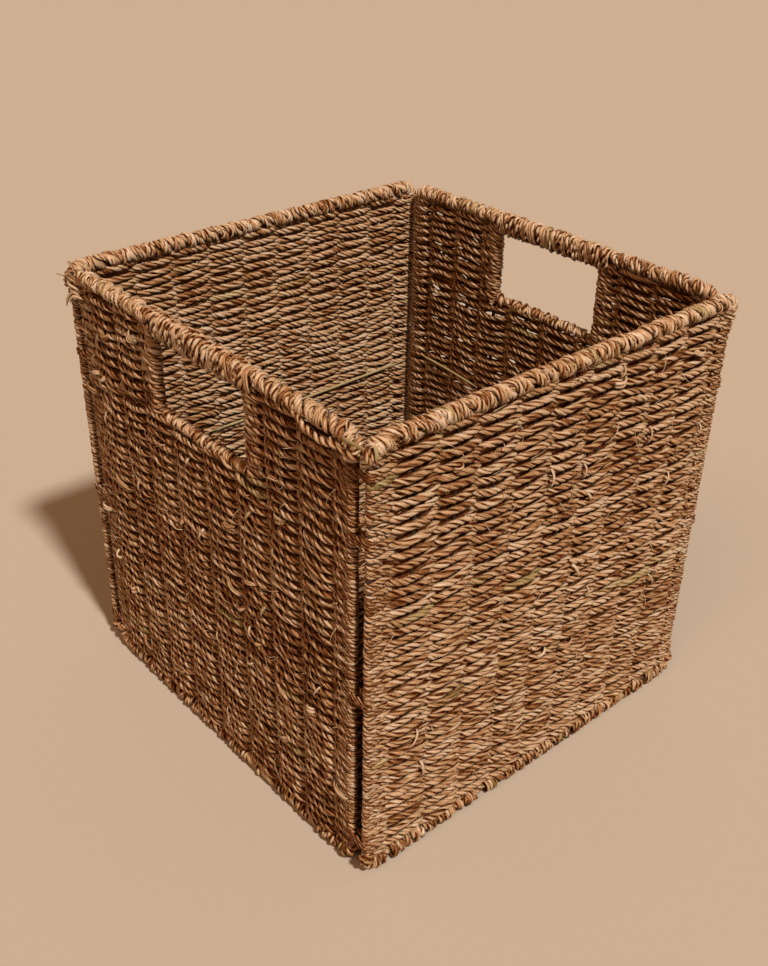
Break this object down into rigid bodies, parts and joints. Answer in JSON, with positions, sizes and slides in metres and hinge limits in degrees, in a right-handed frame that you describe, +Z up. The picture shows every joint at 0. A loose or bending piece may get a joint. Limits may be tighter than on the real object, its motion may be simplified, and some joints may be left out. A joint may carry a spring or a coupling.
{
  "type": "seagrass storage basket",
  "caption": "Collapsible square storage basket of twisted seagrass on wire frames, with bound rims, cut-out handles and a hinged base flap.",
  "frame": {"origin": "middle of the footprint, on the surface that the basket stands on", "axes": "+Z up; +Y from the front wall, which carries the base hinge, to the back wall; X across, along the plain walls and through the two handle walls"},
  "size_m": [0.321, 0.325, 0.32],
  "materials": {
    "frame_wire": "satin",
    "seagrass_weave": "matte",
    "seagrass_binding": "matte",
    "seagrass_lashing": "matte"
  },
  "bodies": {
    "walls": {"front_frame": "frame_wire", "front_weave": "seagrass_weave", "front_rim": "seagrass_binding", "front_foot": "seagrass_binding", "back_frame": "frame_wire", "back_weave": "seagrass_weave", "back_rim": "seagrass_binding", "back_foot": "seagrass_binding", "left_frame": "frame_wire", "left_weave": "seagrass_weave", "left_rim_front": "seagrass_binding", "left_rim_back": "seagrass_binding", "left_grip": "seagrass_binding", "left_sill": "seagrass_binding", "left_foot": "seagrass_binding", "right_frame": "frame_wire", "right_weave": "seagrass_weave", "right_rim_front": "seagrass_binding", "right_rim_back": "seagrass_binding", "right_grip": "seagrass_binding", "right_sill": "seagrass_binding", "right_foot": "seagrass_binding", "corner_lashing_front_left_1": "seagrass_lashing", "corner_lashing_front_left_2": "seagrass_lashing", "corner_lashing_front_left_3": "seagrass_lashing", "corner_lashing_front_left_4": "seagrass_lashing", "corner_lashing_front_right_1": "seagrass_lashing", "corner_lashing_front_right_2": "seagrass_lashing", "corner_lashing_front_right_3": "seagrass_lashing", "corner_lashing_front_right_4": "seagrass_lashing", "corner_lashing_back_left_1": "seagrass_lashing", "corner_lashing_back_left_2": "seagrass_lashing", "corner_lashing_back_left_3": "seagrass_lashing", "corner_lashing_back_left_4": "seagrass_lashing", "corner_lashing_back_right_1": "seagrass_lashing", "corner_lashing_back_right_2": "seagrass_lashing", "corner_lashing_back_right_3": "seagrass_lashing", "corner_lashing_back_right_4": "seagrass_lashing", "hinge_lashing_1": "seagrass_lashing", "hinge_lashing_2": "seagrass_lashing", "hinge_lashing_3": "seagrass_lashing", "hinge_lashing_4": "seagrass_lashing"},
    "base": {"base_frame": "frame_wire", "base_weave": "seagrass_weave", "base_binding": "seagrass_binding"}
  },
  "joints": [
    {"name": "base_fold", "type": "hinge", "parent": "walls", "child": "base", "pos_m": [0, -0.145, 0.0113], "axis": [1, 0, 0], "range_deg": [0, 90]}
  ]
}
